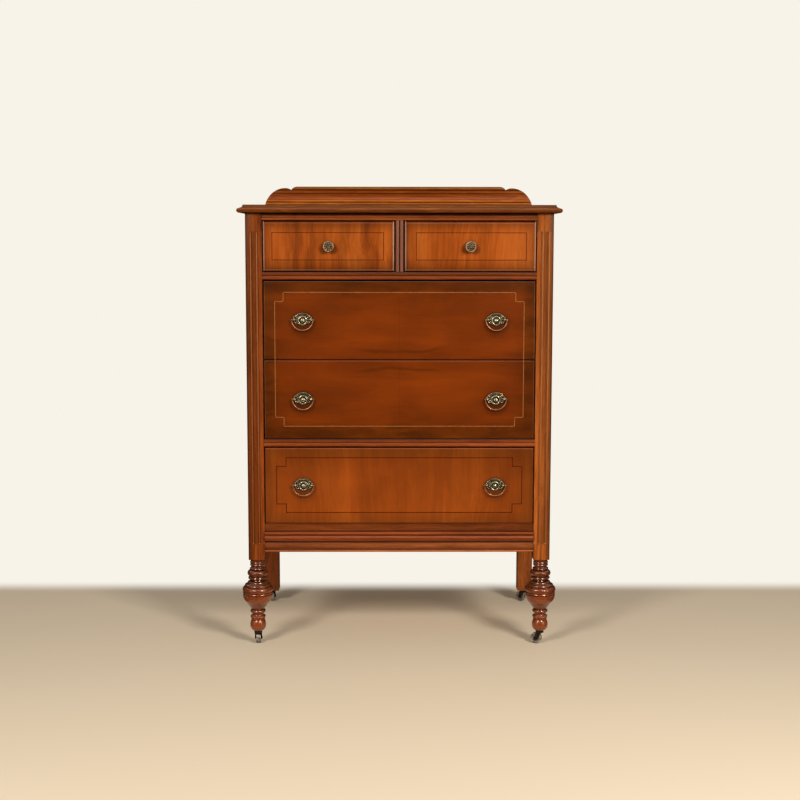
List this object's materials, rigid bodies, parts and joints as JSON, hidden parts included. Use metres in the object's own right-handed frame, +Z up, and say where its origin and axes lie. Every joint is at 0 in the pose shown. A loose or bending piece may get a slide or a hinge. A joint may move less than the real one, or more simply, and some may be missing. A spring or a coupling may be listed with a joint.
{
  "type": "highboy chest of drawers",
  "caption": "Tall chest of drawers with fluted corner posts, turned front legs, a shaped backsplash and brass bail pulls.",
  "frame": {"origin": "middle of the footprint of the whole chest, on the floor", "axes": "+Z up, the drawers face -Y, +X to the right of someone facing them"},
  "size_m": [0.804, 0.489, 1.181],
  "materials": {
    "frame_walnut": "red-brown lacquered walnut, glossy",
    "turned_walnut": "turned walnut in dark red-brown lacquer",
    "small_front_veneer": "orange-brown figured walnut veneer, glossy",
    "wide_front_veneer": "book-matched walnut veneer with a pale string inlay, glossy",
    "bottom_front_veneer": "walnut veneer with a dark string inlay, glossy",
    "panel_veneer": "walnut veneer, glossy",
    "secondary_oak": "plain sawn oak, waxed",
    "plywood": "thin plywood, unfinished",
    "antique_brass": "antiqued cast brass",
    "dark_steel": "dark oxidised steel"
  },
  "bodies": {
    "case": {"left_front_post": "frame_walnut", "right_front_post": "frame_walnut", "left_rear_post": "frame_walnut", "right_rear_post": "frame_walnut", "left_front_leg": "turned_walnut", "right_front_leg": "turned_walnut", "left_side_panel": "panel_veneer", "right_side_panel": "panel_veneer", "left_side_rails": "frame_walnut", "right_side_rails": "frame_walnut", "back_panel": "plywood", "top_board": "panel_veneer", "backsplash": "panel_veneer", "top_rail": "frame_walnut", "centre_muntin": "frame_walnut", "upper_divider_rail": "frame_walnut", "hidden_divider_rail": "secondary_oak", "lower_divider_rail": "frame_walnut", "bottom_rail": "frame_walnut", "base_moulding": "frame_walnut", "apron": "frame_walnut", "rear_rails": "secondary_oak", "drawer_runners": "secondary_oak", "drawer_guides": "secondary_oak", "dust_panels": "plywood", "caster_sockets": "antique_brass"},
    "drawer_top_left": {"top_left_drawer_front": "small_front_veneer", "top_left_drawer_box": "secondary_oak", "top_left_drawer_bottom": "plywood", "left_knob": "antique_brass"},
    "drawer_top_right": {"top_right_drawer_front": "small_front_veneer", "top_right_drawer_box": "secondary_oak", "top_right_drawer_bottom": "plywood", "right_knob": "antique_brass"},
    "drawer_upper": {"upper_drawer_front": "wide_front_veneer", "upper_drawer_box": "secondary_oak", "upper_drawer_bottom": "plywood", "upper_pull_plates": "antique_brass"},
    "drawer_middle": {"middle_drawer_front": "wide_front_veneer", "middle_drawer_box": "secondary_oak", "middle_drawer_bottom": "plywood", "middle_pull_plates": "antique_brass"},
    "drawer_bottom": {"bottom_drawer_front": "bottom_front_veneer", "bottom_drawer_box": "secondary_oak", "bottom_drawer_bottom": "plywood", "bottom_pull_plates": "antique_brass"},
    "bail_upper_left": {"upper_left_bail": "antique_brass"},
    "bail_upper_right": {"upper_right_bail": "antique_brass"},
    "bail_middle_left": {"middle_left_bail": "antique_brass"},
    "bail_middle_right": {"middle_right_bail": "antique_brass"},
    "bail_bottom_left": {"bottom_left_bail": "antique_brass"},
    "bail_bottom_right": {"bottom_right_bail": "antique_brass"},
    "caster_left_front": {"left_front_horn": "dark_steel"},
    "wheel_left_front": {"left_front_wheel": "dark_steel"},
    "caster_right_front": {"right_front_horn": "dark_steel"},
    "wheel_right_front": {"right_front_wheel": "dark_steel"},
    "caster_left_rear": {"left_rear_horn": "dark_steel"},
    "wheel_left_rear": {"left_rear_wheel": "dark_steel"},
    "caster_right_rear": {"right_rear_horn": "dark_steel"},
    "wheel_right_rear": {"right_rear_wheel": "dark_steel"}
  },
  "joints": [
    {"name": "top_left_slide", "type": "slide", "parent": "case", "child": "drawer_top_left", "axis": [0, -1, 0], "range_m": [0, 0.3]},
    {"name": "top_right_slide", "type": "slide", "parent": "case", "child": "drawer_top_right", "axis": [0, -1, 0], "range_m": [0, 0.3]},
    {"name": "upper_slide", "type": "slide", "parent": "case", "child": "drawer_upper", "axis": [0, -1, 0], "range_m": [0, 0.3]},
    {"name": "middle_slide", "type": "slide", "parent": "case", "child": "drawer_middle", "axis": [0, -1, 0], "range_m": [0, 0.3]},
    {"name": "bottom_slide", "type": "slide", "parent": "case", "child": "drawer_bottom", "axis": [0, -1, 0], "range_m": [0, 0.3]},
    {"name": "upper_left_bail_lift", "type": "hinge", "parent": "drawer_upper", "child": "bail_upper_left", "pos_m": [-0.242, -0.2325, 0.835], "axis": [-1, 0, 0], "range_deg": [0, 100]},
    {"name": "upper_right_bail_lift", "type": "hinge", "parent": "drawer_upper", "child": "bail_upper_right", "pos_m": [0.242, -0.2325, 0.835], "axis": [-1, 0, 0], "range_deg": [0, 100]},
    {"name": "middle_left_bail_lift", "type": "hinge", "parent": "drawer_middle", "child": "bail_middle_left", "pos_m": [-0.242, -0.2325, 0.6359], "axis": [-1, 0, 0], "range_deg": [0, 100]},
    {"name": "middle_right_bail_lift", "type": "hinge", "parent": "drawer_middle", "child": "bail_middle_right", "pos_m": [0.242, -0.2325, 0.6359], "axis": [-1, 0, 0], "range_deg": [0, 100]},
    {"name": "bottom_left_bail_lift", "type": "hinge", "parent": "drawer_bottom", "child": "bail_bottom_left", "pos_m": [-0.242, -0.2325, 0.4169], "axis": [-1, 0, 0], "range_deg": [0, 100]},
    {"name": "bottom_right_bail_lift", "type": "hinge", "parent": "drawer_bottom", "child": "bail_bottom_right", "pos_m": [0.242, -0.2325, 0.4169], "axis": [-1, 0, 0], "range_deg": [0, 100]},
    {"name": "left_front_swivel", "type": "hinge", "parent": "case", "child": "caster_left_front", "pos_m": [-0.36225, -0.20475, 0.032], "axis": [0, 0, 1], "continuous": true},
    {"name": "left_front_roll", "type": "hinge", "parent": "caster_left_front", "child": "wheel_left_front", "pos_m": [-0.36225, -0.19575, 0.014], "axis": [1, 0, 0], "continuous": true},
    {"name": "right_front_swivel", "type": "hinge", "parent": "case", "child": "caster_right_front", "pos_m": [0.36225, -0.20475, 0.032], "axis": [0, 0, 1], "continuous": true},
    {"name": "right_front_roll", "type": "hinge", "parent": "caster_right_front", "child": "wheel_right_front", "pos_m": [0.35379, -0.20167, 0.014], "axis": [0.342, 0.9397, 0], "continuous": true},
    {"name": "left_rear_swivel", "type": "hinge", "parent": "case", "child": "caster_left_rear", "pos_m": [-0.36225, 0.21875, 0.032], "axis": [0, 0, 1], "continuous": true},
    {"name": "left_rear_roll", "type": "hinge", "parent": "caster_left_rear", "child": "wheel_left_rear", "pos_m": [-0.36225, 0.22775, 0.014], "axis": [1, 0, 0], "continuous": true},
    {"name": "right_rear_swivel", "type": "hinge", "parent": "case", "child": "caster_right_rear", "pos_m": [0.36225, 0.21875, 0.032], "axis": [0, 0, 1], "continuous": true},
    {"name": "right_rear_roll", "type": "hinge", "parent": "caster_right_rear", "child": "wheel_right_rear", "pos_m": [0.35488, 0.22391, 0.014], "axis": [0.5736, 0.8192, 0], "continuous": true}
  ]
}
